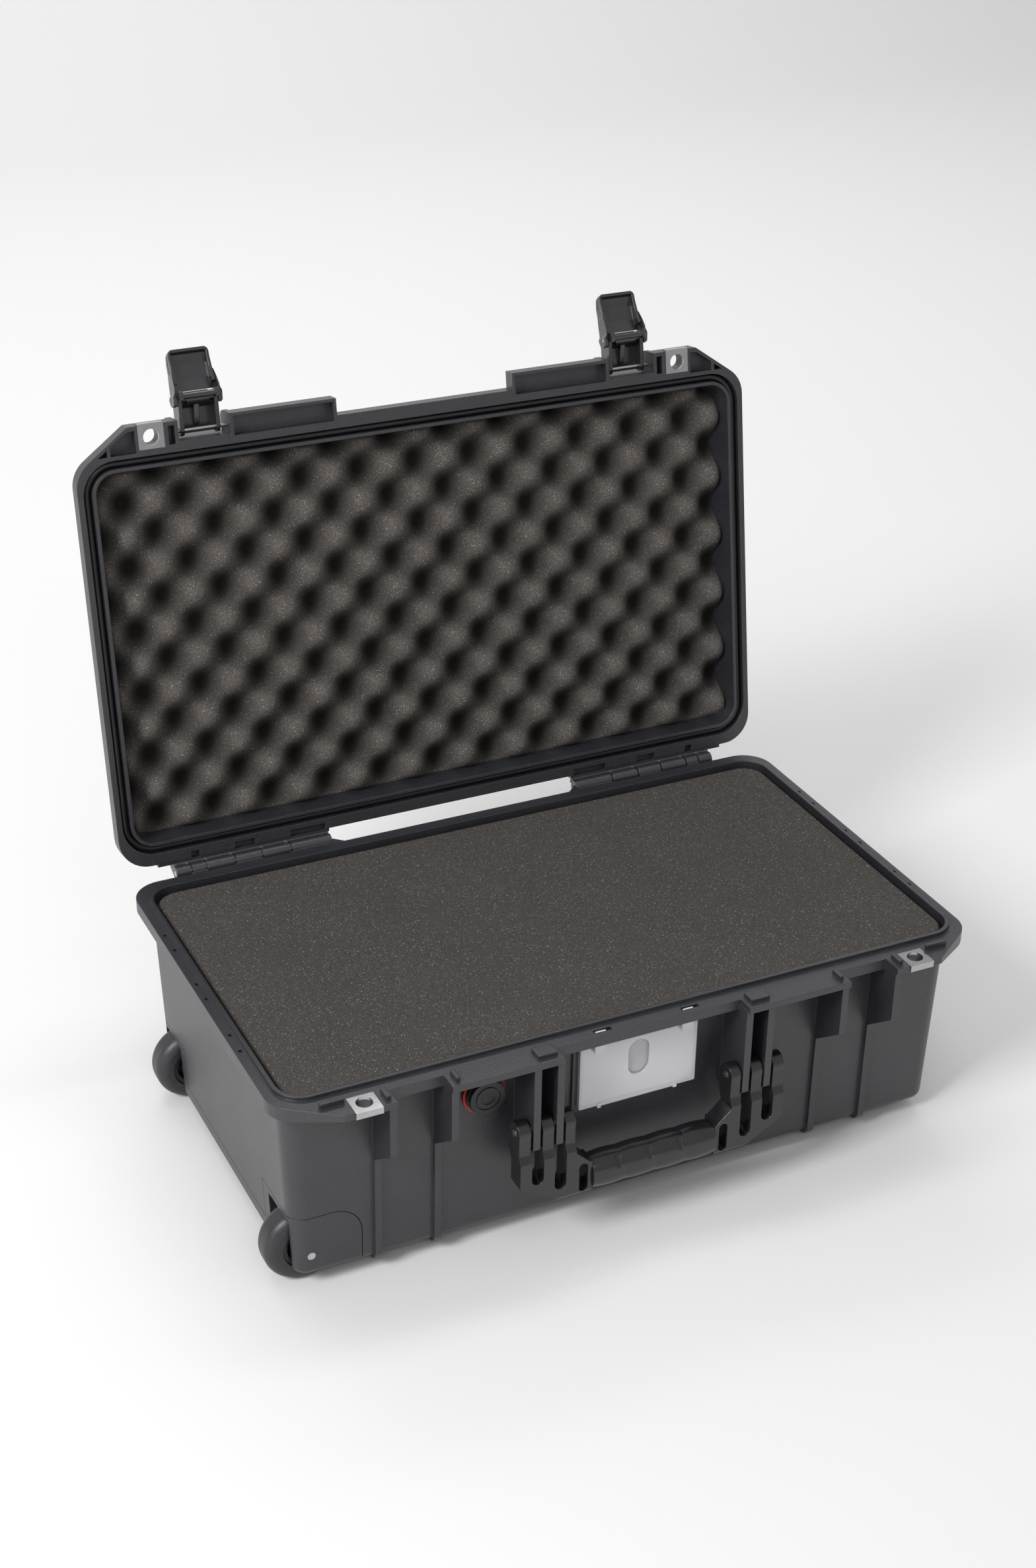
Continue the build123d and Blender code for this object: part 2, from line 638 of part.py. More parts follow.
def latch_lever():
    """Paddle of one latch at +X: a dished plate with flared side flanges and two ears."""
    tip = -lever_length
    outer = from_lever_pin([(-5.2, 0.6), (-5.6, 4.6), (-14.5, 6.3), (-26.5, 5.5), (-34.5, 2.5), (tip, -0.5),
                            (tip + 0.4, -3.1), (tip + 2.6, -3.3), (-32.5, -0.1), (-25.5, 2.5), (-14.5, 3.1)])
    total = side_prism(outer, latch_mid_x - lever_half, latch_mid_x + lever_half)
    flank = from_lever_pin([(5.6, 1.5), (5.0, -2.6), (0.0, -5.4), (-6.5, -7.4), (-12.5, -6.0), (-20.5, -3.0),
                            (-28.5, -2.4), (tip, -3.1), (tip, -0.5), (-34.5, 2.5), (-26.5, 5.5),
                            (-14.5, 6.3), (-5.5, 6.4), (0.0, 6.6), (4.0, 5.4)])
    for a, b in ((latch_mid_x - lever_half, latch_mid_x - lever_half + lever_ear_t),
                 (latch_mid_x + lever_half - lever_ear_t, latch_mid_x + lever_half)):
        total = total + side_prism(flank, a, b)
    # second, inner pair of walls where the paddle narrows towards its tip
    wing = from_lever_pin([(-10.0, -5.4), (-20.5, -3.0), (-28.5, -2.4), (tip + 0.4, -3.1), (-34.5, 1.5),
                           (-26.5, 5.0), (-14.5, 5.6), (-10.0, 5.0)])
    for a in (latch_mid_x - lever_tip_half, latch_mid_x + lever_tip_half - 2.2):
        total = total + side_prism(wing, a, a + 2.2)
    # plan outline: narrower towards the tip, with round corners
    start = latch_pivot_y + lever_pin_y
    end = start + tip
    half = [(lever_half, start + 8), (lever_half, start - 1.5), (lever_half - 1.4, start - 4.5),
            (lever_tip_half + 1.2, start - 11), (lever_tip_half + 0.4, start - 19), (lever_tip_half, end)]
    plan = [(latch_mid_x + x, y) for x, y in half] + [(latch_mid_x - x, y) for x, y in reversed(half)]
    mask = plan_prism(plan, latch_pivot_z - 20, latch_pivot_z + 20)
    corners = [e for e in mask.edges().filter_by(Axis.Z) if e.center().Y < end + 1]
    total = total & fillet(corners, 5.0)
    y, z = latch_place(lever_pin_y, lever_pin_z)
    total = total - rod_x(latch_pin_r, latch_mid_x - 30, latch_mid_x + 30, y, z)
    return total.rotate(Axis((0, y, z), (1, 0, 0)), -lever_lean)


def latch_pins():
    y, z = latch_place(0, 0)
    pivot = rod_x(latch_pin_r, bay_in - 2.5, bay_out + 2.5, y, z)
    y, z = latch_place(lever_pin_y, lever_pin_z)
    lever = rod_x(latch_pin_r, latch_mid_x - lever_half + 0.3, latch_mid_x + lever_half - 0.3, y, z)
    return pivot, lever


# ---- handles -------------------------------------------------------------------
def handle_frame():
    profile = [(pivot_y + tine_r, pivot_z), (pivot_y + tine_r, 92), (handle_back_y, 84),
               (handle_back_y, handle_bottom_z), (handle_front_y, handle_bottom_z),
               (handle_front_y, knee_z), (-fin_front_y, knee_z + 6), (-fin_front_y, pivot_z)]
    half = tines[0][1]
    bar = side_prism(profile, -half, half)
    level = [e for e in bar.edges().filter_by(Axis.X) if abs(e.center().Z - handle_bottom_z) < 0.1]
    bar = fillet(level, 4.0) + rod_x(tine_r, -half, half, pivot_y, pivot_z)
    t3 = tines[2][0]
    front = [(0, handle_bottom_z), (handle_corner_x, handle_bottom_z), (half, handle_corner_z),
             (half, pivot_z + 20), (t3, pivot_z + 20), (t3, knee_z - 2), (grip_half + 2, handle_top_z),
             (0, handle_top_z)]
    outline = front + [(-x, z) for x, z in reversed(front[1:-1])]
    face = make_face(Polyline(*outline, close=True))
    shape = bar & extrude(Plane.XZ.offset(200) * face, -100)
    for (a, _), (_, b), low in ((tines[0], tines[1], slot_low_outer), (tines[1], tines[2], slot_low_inner)):
        shape = shape - both(block(b, a, -200, -140, low, pivot_z + 30))
        shape = shape - both(rod_y((a - b) / 2, -200, -140, (a + b) / 2, low))
    hole = block(53.5, 60.5, -200, -140, 53, 70)
    hole = hole + rod_y(3.5, -200, -140, 57, 53) + rod_y(3.5, -200, -140, 57, 70)
    shape = shape - both(hole)
    middle_y = (handle_front_y + handle_back_y) / 2
    middle_z = (handle_bottom_z + handle_top_z) / 2
    keep = block(-grip_half, grip_half, middle_y - core_t, middle_y + core_t,
                 middle_z - core_t, middle_z + core_t)
    waist = block(-grip_half, grip_half, -200, -140, 0, 90) - keep
    shape = shape - waist
    return shape - rod_x(handle_pin_r + running, -120, 120, pivot_y, pivot_z)


def handle_grip():
    """Moulded over the frame's bar: four swells with a finger notch at the end of three."""
    middle_y = (handle_front_y + handle_back_y) / 2
    middle_z = (handle_bottom_z + handle_top_z) / 2
    tall = handle_top_z - handle_bottom_z - 0.4

    def section(x, less):
        outline = RectangleRounded(24.6 - less, tall - less, 11.8 - less / 2)
        return Plane.YZ.offset(x) * (Pos(middle_y, middle_z) * outline)

    grip = None
    ends = (-grip_half, -grip_half / 2, 0, grip_half / 2, grip_half)
    for x0, x1 in zip(ends, ends[1:]):
        outer0 = 2.6 if x0 == -grip_half else 1.6
        outer1 = 2.6 if x1 == grip_half else 1.6
        swell = loft([section(x0, outer0), section((x0 + x1) / 2, 0.2), section(x1, outer1)])
        grip = swell if grip is None else grip + swell
    for x in (-grip_half / 2 - 5, -5, grip_half / 2 - 5):
        notch = extrude(Plane.XY.offset(11.4) * (Rot(0, 0, 90) * SlotOverall(10.5, 4.6)), 6)
        grip = grip - Pos(x, middle_y, middle_z) * (Rot(48, 0, 0) * notch)
    core = block(-60, 60, middle_y - core_t, middle_y + core_t, middle_z - core_t, middle_z + core_t)
    return grip - core


def handle_pin():
    return rod_x(handle_pin_r, tines[2][0] - 0.5, tines[0][1] + 0.5, pivot_y, pivot_z)


def side_handle_frame():
    x0, x1 = side_pivot_x - side_arm_r, side_pivot_x + side_arm_r
    low = side_pivot_z - side_drop
    arm = block(x0, x1, side_half - side_arm_w, side_half, low, side_pivot_z)
    arm = arm + rod_y(side_arm_r, side_half - side_arm_w, side_half, side_pivot_x, side_pivot_z)
    core = block(side_pivot_x - 2.4, side_pivot_x + 2.4, -side_half + side_arm_w, side_half - side_arm_w,
                 low + 2, low + 14)
    shape = arm + mirror_y(arm) + core
    return shape - rod_y(side_pin_r + running, -80, 80, side_pivot_x, side_pivot_z)


def side_handle_grip():
    low = side_pivot_z - side_drop
    half = side_half - side_arm_w - 0.2
    grip = block(side_pivot_x - 5.2, side_pivot_x + 5.2, -half, half, low - 2, low + 18)
    grip = fillet(grip.edges().filter_by(Axis.Y), 4.6)
    return grip - block(side_pivot_x - 2.4, side_pivot_x + 2.4, -60, 60, low + 2, low + 14)


def side_handle_pins():
    pin = rod_y(side_pin_r, side_half - side_arm_w - side_lug_t, side_half + side_lug_t,
                side_pivot_x, side_pivot_z)
    return pin + mirror_y(pin)


# ---- wheels, at -Y -------------------------------------------------------------
def wheel_tyre(y):
    radius, half = wheel_r, wheel_half_w
    section = Rectangle(radius - hub_r, 2 * half)
    section = Pos((radius + hub_r) / 2, 0) * section
    outer = [v for v in section.vertices() if v.X > radius - 0.1]
    section = fillet(outer, tyre_round)
    ring_shape = revolve(Plane.XY * section, Axis.Y)
    return Pos(wheel_x, y, wheel_r) * ring_shape


def wheel_hub(y):
    shape = rod_y(hub_r, y - wheel_half_w + 1.5, y + wheel_half_w - 1.5, wheel_x, wheel_r)
    dish = rod_y(hub_r - 3.5, y - 20, y - 3, wheel_x, wheel_r) \
        - rod_y(bearing_r + 2, y - 21, y, wheel_x, wheel_r)
    other = rod_y(hub_r - 3.5, y + 3, y + 20, wheel_x, wheel_r) \
        - rod_y(bearing_r + 2, y, y + 21, wheel_x, wheel_r)
    shape = shape - dish - other
    for k in range(5):
        turn = radians(72 * k + 18)
        shape = shape - rod_y(1.9, y - 20, y + 20, wheel_x + 12.2 * cos(turn), wheel_r + 12.2 * sin(turn))
    for side in (-1, 1):
        face = y + side * (wheel_half_w - 1.5)
        shape = shape - rod_y(bearing_r, face - side * bearing_w, face + side * 2, wheel_x, wheel_r)
    return shape - rod_y(axle_r + 1.0, y - 20, y + 20, wheel_x, wheel_r)


def wheel_bearings(y):
    total = None
    for side in (-1, 1):
        face = y + side * (wheel_half_w - 1.5)
        race = rod_y(bearing_r, face - side * bearing_w, face, wheel_x, wheel_r)
        race = race - rod_y(axle_r + running, y - 20, y + 20, wheel_x, wheel_r)
        total = race if total is None else total + race
    return total


def wheel_axle():
    return rod_y(axle_r, -(body_half_y - 1.6), -(slot_in - 3.5), wheel_x, wheel_r)


# ---- pull-out handle -----------------------------------------------------------
def hollow_tube(x0, x1, y, width, height, thickness):
    outer = block(x0, x1, y - width / 2, y + width / 2, tube_z - height / 2, tube_z + height / 2)
    inner = block(x0 - 1, x1 + 1, y - width / 2 + thickness, y + width / 2 - thickness,
                  tube_z - height / 2 + thickness, tube_z + height / 2 - thickness)
    return outer - inner


def outer_tubes():
    tube = hollow_tube(tube_back_x, tube_front_x, tube_y, tube_w, tube_h, tube_wall)
    return tube + mirror_y(tube)


def inner_tubes():
    width = tube_w - 2 * tube_wall - 2 * slide_gap
    height = tube_h - 2 * tube_wall - 2 * slide_gap
    tube = hollow_tube(tube_back_x + 6, pull_grip_x0 + 6, tube_y, width, height, 1.0)
    return tube + mirror_y(tube)


def pull_grip():
    z0, z1 = tube_z - pull_grip_h / 2, tube_z + pull_grip_h / 2
    shape = block(pull_grip_x0, pull_grip_x1, -pull_grip_half, pull_grip_half, z0, z1)
    outer = [e for e in shape.edges().filter_by(Axis.Y) if e.center().X > pull_grip_x0 + 1]
    shape = fillet(outer, 4.5)
    pocket = block(pull_grip_x1 - 8, pull_grip_x1 + 2, -button_half - 0.3, button_half + 0.3,
                   tube_z - 5, tube_z + 5)
    width = tube_w - 2 * tube_wall - 2 * slide_gap
    height = tube_h - 2 * tube_wall - 2 * slide_gap
    for side in (-1, 1):
        pocket = pocket + block(pull_grip_x0 - 1, pull_grip_x0 + 6, side * tube_y - width / 2,
                                side * tube_y + width / 2, tube_z - height / 2, tube_z + height / 2)
    return shape - pocket


def pull_button():
    shape = block(pull_grip_x1 - 4.5, pull_grip_x1 + 1.5, -button_half, button_half,
                  tube_z - 4.7, tube_z + 4.7)
    return fillet(shape.faces().sort_by(Axis.X)[-1].edges(), 1.2)


# ---- trim and foam -------------------------------------------------------------
def vent_body():
    face = -body_half_y
    stem = rod_y(5.8, face - 2, face + wall + 1.2, vent_x, vent_z)
    return stem + rod_y(vent_r, face - 5.5, face - 2, vent_x, vent_z)


def vent_cap():
    face = -body_half_y
    cap = rod_y(vent_r - 1.2, face - 8.5, face - 5.5, vent_x, vent_z)
    groove = rod_y(9.6, face - 9, face - 7.6, vent_x, vent_z) - rod_y(8.6, face - 9, face - 7, vent_x, vent_z)
    return cap - groove - rod_y(5.2, face - 9, face - 7.8, vent_x, vent_z)


def vent_seal():
    face = -body_half_y
    seal = rod_y(vent_r + 1.6, face - 2, face - 0.1, vent_x, vent_z)
    return seal - rod_y(6.0, face - 3, face + 1, vent_x, vent_z)


def card_cover():
    """Clear cover with a thumb slot, a ledge below, and two clips up through the rim."""
    back = -body_half_y - card_pad_t + 0.4
    shape = block(-card_half, card_half, back - card_t, back, card_low, card_high)
    shape = fillet(shape.edges().filter_by(Axis.Y), 1.2)
    shape = shape + block(-30, 30, back - card_t + 0.8, back - 0.4, card_low - 1.6, card_low + 1)
    for x in (-31.0, 31.0):
        shape = shape + block(x - 1.3, x + 1.3, back - card_t - 0.5, back - 0.4, card_low - 2.0, card_low + 2)
    inner = block(-card_half + 2, card_half - 2, back - card_t + 1.4, back + 1, card_low + 2.5, card_high - 2)
    middle_z = (card_low + card_high) / 2 + 6
    thumb = block(-thumb_half, thumb_half, back - 9, back, middle_z - 6.5, middle_z + 6.5)
    thumb = thumb + rod_y(thumb_half, back - 9, back, 0, middle_z - 6.5)
    thumb = thumb + rod_y(thumb_half, back - 9, back, 0, middle_z + 6.5)
    shape = shape - inner - (thumb & block(-20, 20, back - card_t - 1, back - card_t + 1.5, 0, 200))
    for x in (-36.5, 33.5):
        arm = block(x - 4, x + 4, -159.0, back - 0.6, card_high - 2, card_high)
        shape = shape + arm + block(x - 4, x + 4, -159.0, -157.2, card_high - 2, rim_z - 0.6)
    return shape


def name_card():
    back = -body_half_y - card_pad_t + 0.4
    return block(-card_half + 2.6, card_half - 2.6, back - 1.2, back - 0.1, card_low + 3.1, card_high - 2.6)


def foam_prism(z0, z1):
    shape = slab(foam_half_x, foam_half_y, foam_corner, z0, z1)
    if z0 > carrier_top + 2 * wall + 12:
        return shape
    bump = block(-2 * body_half_x, carrier_right + 2 * wall + 2, carrier_in - 2 * wall - 2, 200, 0,
                 carrier_top + 2 * wall + 2)
    return shape - bump - mirror_y(bump)


def base_foam_upper():
    shelf = rim_z - mouth_depth + 0.5
    top = slab(opening_half_x - 3.0, opening_half_y - 3.0, opening_corner - 2, shelf, foam_top_z)
    return foam_prism(foam_split_z + foam_gap, shelf + 0.1) + top


def lid_foam():
    top = rim_z + lid_height - lid_roof_t - foam_gap
    narrow = (lid_top_x - wall - 1.2, lid_top_y - wall - 1.0)
    return tapered((lid_foam_x, lid_foam_y), narrow, lid_corner - 8.5, lid_corner - 6.5, lid_foam_low, top)


def pin_pair(side):
    pin = rod_x(hinge_pin_r, knuckle_ends[0] + 3, knuckle_ends[-1] - knuckle_gap, hinge_y, hinge_z)
    return pin if side == "right" else mirror_x(pin)


# ---- all nodes -----------------------------------------------------------------
def all_parts():
    parts = {
        "base_shell": base_shell(),
        "wheel_carrier": wheel_carrier(),
        "bottom_cover": bottom_cover(),
        "bottom_cover_screws": cover_screws(),
        "vent_body": vent_body(),
        "vent_cap": vent_cap(),
        "vent_seal": vent_seal(),
        "card_cover": card_cover(),
        "name_card": name_card(),
        "base_foam_upper": base_foam_upper(),
        "base_foam_lower": foam_prism(pad_top_z + foam_gap, foam_split_z),
        "base_foam_pad": foam_prism(floor_z, pad_top_z),
        "front_handle_frame": handle_frame(),
        "front_handle_grip": handle_grip(),
        "side_handle_frame": side_handle_frame(),
        "side_handle_grip": side_handle_grip(),
        "side_handle_pins": side_handle_pins(),
        "pull_handle_outer_tubes": outer_tubes(),
        "pull_handle_inner_tubes": inner_tubes(),
        "pull_handle_grip": pull_grip(),
        "pull_handle_button": pull_button(),
        "lid_shell": open_lid(lid_shell()),
        "lid_gasket": open_lid(lid_gasket()),
        "lid_foam": open_lid(lid_foam()),
    }
    base_plate = padlock_plate(rim_z, 1)
    lid_plate = padlock_plate(rim_z + rim_gap, -1)
    pivot_pin, lever_pin = latch_pins()
    link = latch_body()
    paddle = latch_lever()
    for side in ("left", "right"):
        def place(shape):
            return shape if side == "right" else mirror_x(shape)
        parts["padlock_plate_base_" + side] = place(base_plate)
        parts["padlock_plate_lid_" + side] = open_lid(place(lid_plate))
        parts["hinge_pin_" + side] = pin_pair(side)
        parts["front_handle_pin_" + side] = place(handle_pin())
        parts["latch_body_" + side] = open_lid(place(link))
        parts["latch_lever_" + side] = open_lid(place(paddle))
        parts["latch_pivot_pin_" + side] = open_lid(place(pivot_pin))
        parts["latch_lever_pin_" + side] = open_lid(place(lever_pin))
    for end, y in (("front", -wheel_y), ("back", wheel_y)):
        parts["wheel_tyre_" + end] = wheel_tyre(y)
        parts["wheel_hub_" + end] = wheel_hub(y)
        parts["wheel_bearings_" + end] = wheel_bearings(y)
        parts["wheel_axle_" + end] = wheel_axle() if y < 0 else mirror_y(wheel_axle())
    return parts


os.makedirs("parts", exist_ok=True)
for node, shape in all_parts().items():
    export_step(Pos(0, 0, -base_bottom_z) * shape, "parts/" + node + ".step")
    print(node, round(shape.volume / 1000, 1))
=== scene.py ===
import json
import math

import bmesh
import bpy
from mathutils import Euler, Matrix, Vector


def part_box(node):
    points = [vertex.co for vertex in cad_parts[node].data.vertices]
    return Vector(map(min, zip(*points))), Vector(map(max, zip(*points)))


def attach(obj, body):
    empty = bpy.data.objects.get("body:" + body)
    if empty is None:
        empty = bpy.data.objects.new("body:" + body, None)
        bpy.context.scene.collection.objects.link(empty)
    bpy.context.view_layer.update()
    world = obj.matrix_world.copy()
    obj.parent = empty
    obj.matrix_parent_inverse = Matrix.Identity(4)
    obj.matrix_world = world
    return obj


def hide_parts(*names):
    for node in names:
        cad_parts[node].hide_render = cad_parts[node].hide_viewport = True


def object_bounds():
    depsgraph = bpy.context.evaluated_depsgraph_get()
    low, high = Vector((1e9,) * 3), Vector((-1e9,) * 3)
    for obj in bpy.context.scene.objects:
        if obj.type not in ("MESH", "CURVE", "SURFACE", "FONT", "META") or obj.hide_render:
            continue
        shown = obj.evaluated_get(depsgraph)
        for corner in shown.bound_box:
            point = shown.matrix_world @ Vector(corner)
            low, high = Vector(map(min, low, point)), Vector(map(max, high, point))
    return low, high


# Hard case: moulded shells, foam linings, latches, handles and wheels. Metres.
# The CAD nodes keep their shape and take a finish; the foam is modelled here.

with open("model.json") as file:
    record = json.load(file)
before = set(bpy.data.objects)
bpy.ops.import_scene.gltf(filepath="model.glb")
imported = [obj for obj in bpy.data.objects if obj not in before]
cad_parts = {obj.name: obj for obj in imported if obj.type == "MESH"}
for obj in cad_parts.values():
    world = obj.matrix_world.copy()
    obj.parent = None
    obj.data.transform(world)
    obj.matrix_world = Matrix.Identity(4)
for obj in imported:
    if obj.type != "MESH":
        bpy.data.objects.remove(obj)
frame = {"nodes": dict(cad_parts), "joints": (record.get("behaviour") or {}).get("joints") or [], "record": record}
CAD_LOW, CAD_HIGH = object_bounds()
NODES = frame["nodes"]
JOINTS = {j["name"]: j for j in frame["joints"]}
MM = 0.001


# ---- shader node groups ---------------------------------------------------------
def new_group(name, inputs, outputs):
    """Shader node group with plain sockets: {name: (kind, default)}."""
    group = bpy.data.node_groups.new(name, "ShaderNodeTree")
    for label, (kind, value) in inputs.items():
        socket = group.interface.new_socket(label, in_out="INPUT", socket_type="NodeSocket" + kind)
        socket.default_value = value
    for label, kind in outputs.items():
        group.interface.new_socket(label, in_out="OUTPUT", socket_type="NodeSocket" + kind)
    ins = group.nodes.new("NodeGroupInput")
    outs = group.nodes.new("NodeGroupOutput")
    return group, ins, outs


def add(tree, kind, **values):
    """New node with its plain properties and socket defaults set."""
    node = tree.nodes.new("ShaderNode" + kind)
    for key, value in values.items():
        if hasattr(node, key):
            setattr(node, key, value)
        else:
            node.inputs[key.replace("_", " ")].default_value = value
    return node


def math_node(tree, operation, first, second=None, clamp=False):
    node = tree.nodes.new("ShaderNodeMath")
    node.operation = operation
    node.use_clamp = clamp
    for index, value in enumerate((first, second)):
        if value is None:
            continue
        if isinstance(value, (int, float)):
            node.inputs[index].default_value = value
        else:
            tree.links.new(value, node.inputs[index])
    return node.outputs[0]


def ramp(tree, value, low, high):
    """Maps low..high to 0..1, clamped."""
    node = tree.nodes.new("ShaderNodeMapRange")
    node.inputs["From Min"].default_value = low
    node.inputs["From Max"].default_value = high
    tree.links.new(value, node.inputs["Value"])
    return node.outputs["Result"]


def noise(tree, place, scale, detail=3.0, rough=0.55):
    node = add(tree, "TexNoise", Scale=scale, Detail=detail, Roughness=rough)
    tree.links.new(place, node.inputs["Vector"])
    return node.outputs["Fac"]


def cells(tree, place, scale):
    node = tree.nodes.new("ShaderNodeTexVoronoi")
    node.inputs["Scale"].default_value = scale
    tree.links.new(place, node.inputs["Vector"])
    return node


def make_grain_group():
    """Spark-eroded grain of moulded plastic: pebbled height, and slow changes of sheen."""
    group, ins, outs = new_group(
        "moulded_grain",
        {"Grain Size": ("Float", 1800.0), "Depth": ("Float", 1.0)},
        {"Height": "Float", "Sheen": "Float", "Tone": "Float", "Speckle": "Float"})
    place = add(group, "TexCoord").outputs["Object"]
    pebbles = group.nodes.new("ShaderNodeTexVoronoi")
    pebbles.feature = "SMOOTH_F1"
    group.links.new(place, pebbles.inputs["Vector"])
    group.links.new(ins.outputs["Grain Size"], pebbles.inputs["Scale"])
    fine = group.nodes.new("ShaderNodeTexNoise")
    fine.inputs["Detail"].default_value = 2.0
    group.links.new(place, fine.inputs["Vector"])
    group.links.new(ins.outputs["Grain Size"], fine.inputs["Scale"])
    mixed = math_node(group, "ADD", pebbles.outputs["Distance"], fine.outputs["Fac"])
    group.links.new(math_node(group, "MULTIPLY", mixed, ins.outputs["Depth"]), outs.inputs["Height"])
    group.links.new(ramp(group, noise(group, place, 720.0, 2.0, 0.6), 0.32, 0.68), outs.inputs["Speckle"])
    slow = noise(group, place, 9.0, 4.0)
    group.links.new(slow, outs.inputs["Sheen"])
    group.links.new(noise(group, place, 42.0, 5.0, 0.6), outs.inputs["Tone"])
    return group


def make_dust_group():
    """Fine scuffs, and dust specks in patches."""
    group, ins, outs = new_group(
        "scuffs_and_dust", {"Amount": ("Float", 0.5)}, {"Scuff": "Float", "Dust": "Float"})
    coords = add(group, "TexCoord")
    stretch = group.nodes.new("ShaderNodeMapping")
    stretch.inputs["Scale"].default_value = (1.0, 6.0, 3.0)
    stretch.inputs["Rotation"].default_value = (0.4, 0.3, 0.8)
    group.links.new(coords.outputs["Object"], stretch.inputs["Vector"])
    scratches = ramp(group, noise(group, stretch.outputs["Vector"], 60.0, 8.0, 0.7), 0.62, 0.78)
    group.links.new(math_node(group, "MULTIPLY", scratches, ins.outputs["Amount"]), outs.inputs["Scuff"])
    specks = cells(group, coords.outputs["Object"], 420.0)
    dots = ramp(group, specks.outputs["Distance"], 0.16, 0.06)
    keep = ramp(group, noise(group, coords.outputs["Object"], 130.0, 2.0), 0.56, 0.62)
    group.links.new(math_node(group, "MULTIPLY", math_node(group, "MULTIPLY", dots, keep),
                              ins.outputs["Amount"]), outs.inputs["Dust"])
    return group


def make_foam_group():
    """Open-cell foam: pores, pale fibres caught in them, and slow tone changes."""
    group, ins, outs = new_group(
        "foam_cells", {"Pore Size": ("Float", 900.0)},
        {"Height": "Float", "Fleck": "Float", "Pore": "Float", "Tone": "Float"})
    place = add(group, "TexCoord").outputs["Object"]
    pores = group.nodes.new("ShaderNodeTexVoronoi")
    group.links.new(place, pores.inputs["Vector"])
    group.links.new(ins.outputs["Pore Size"], pores.inputs["Scale"])
    fine = noise(group, place, 1500.0, 3.0, 0.7)
    group.links.new(math_node(group, "ADD", pores.outputs["Distance"], fine), outs.inputs["Height"])
    coarse = noise(group, place, 620.0, 2.0, 0.6)
    group.links.new(ramp(group, math_node(group, "ADD", pores.outputs["Distance"], coarse), 0.5, 1.15),
                    outs.inputs["Pore"])
    total = None
    for scale, reach, low, high in ((620.0, 0.26, 0.52, 0.58), (360.0, 0.16, 0.58, 0.63)):
        dots = ramp(group, cells(group, place, scale).outputs["Distance"], reach, reach * 0.35)
        keep = ramp(group, noise(group, place, scale * 0.83, 1.0), low, high)
        flecks = math_node(group, "MULTIPLY", dots, keep)
        total = flecks if total is None else math_node(group, "MAXIMUM", total, flecks)
    group.links.new(total, outs.inputs["Fleck"])
    group.links.new(noise(group, place, 14.0, 4.0, 0.6), outs.inputs["Tone"])
    return group


GRAIN = make_grain_group()
DUST = make_dust_group()
FOAM = make_foam_group()


# ---- materials --------------------------------------------------------------------
def new_material(name, metallic=0.0, **sockets):
    material = bpy.data.materials.new(name)
    material.use_nodes = True
    tree = material.node_tree
    shader = tree.nodes["Principled BSDF"]
    shader.inputs["Metallic"].default_value = metallic
    for key, value in sockets.items():
        shader.inputs[key.replace("_", " ")].default_value = value
    return material, tree, shader


def use_group(tree, group, **values):
    node = tree.nodes.new("ShaderNodeGroup")
    node.node_tree = group
    for key, value in values.items():
        node.inputs[key.replace("_", " ")].default_value = value
    return node


def blend_colours(tree, factor, first, second):
    node = tree.nodes.new("ShaderNodeMix")
    node.data_type = "RGBA"
    for index, value in ((6, first), (7, second)):
        if isinstance(value, tuple):
            node.inputs[index].default_value = (*value, 1.0)
        else:
            tree.links.new(value, node.inputs[index])
    if isinstance(factor, (int, float)):
        node.inputs[0].default_value = factor
    else:
        tree.links.new(factor, node.inputs[0])
    return node.outputs[2]


def bump(tree, height, depth, strength=1.0, edge=0.0):
    """Bump from a height; edge rounds the normals at sharp edges, in metres."""
    node = add(tree, "Bump", Strength=strength, Distance=depth)
    tree.links.new(height, node.inputs["Height"])
    if edge > 0.0:
        soft = tree.nodes.new("ShaderNodeBevel")
        soft.samples = 4
        soft.inputs["Radius"].default_value = edge
        tree.links.new(soft.outputs["Normal"], node.inputs["Normal"])
    return node.outputs["Normal"]


def scaled(tree, value, low, high):
    """0..1 value to low..high."""
    span = math_node(tree, "MULTIPLY", value, high - low)
    return math_node(tree, "ADD", span, low)


def moulded(name, colour, pale, roughness, grain=1800.0, depth=0.05, dust=0.5, specular=0.5,
            edge=0.7 * MM, speckle=0.12):
    """Grained plastic: dark base, slow sheen changes, scuffs and dust."""
    material, tree, shader = new_material(name, Specular_IOR_Level=specular)
    grained = use_group(tree, GRAIN, Grain_Size=grain, Depth=1.0)
    worn = use_group(tree, DUST, Amount=dust)
    tone = ramp(tree, grained.outputs["Tone"], 0.3, 0.7)
    base = blend_colours(tree, tone, colour, pale)
    base = blend_colours(tree, math_node(tree, "MULTIPLY", grained.outputs["Speckle"], speckle), base,
                         tuple(c * 2.2 for c in pale))
    dusty = blend_colours(tree, worn.outputs["Dust"], base, tuple(min(1.0, c * 5 + 0.05) for c in pale))
    tree.links.new(dusty, shader.inputs["Base Color"])
    rough = scaled(tree, grained.outputs["Sheen"], roughness - 0.08, roughness + 0.08)
    rough = math_node(tree, "SUBTRACT", rough, math_node(tree, "MULTIPLY", worn.outputs["Scuff"], 0.10))
    tree.links.new(rough, shader.inputs["Roughness"])
    tree.links.new(bump(tree, grained.outputs["Height"], depth * MM, edge=edge), shader.inputs["Normal"])
    return material


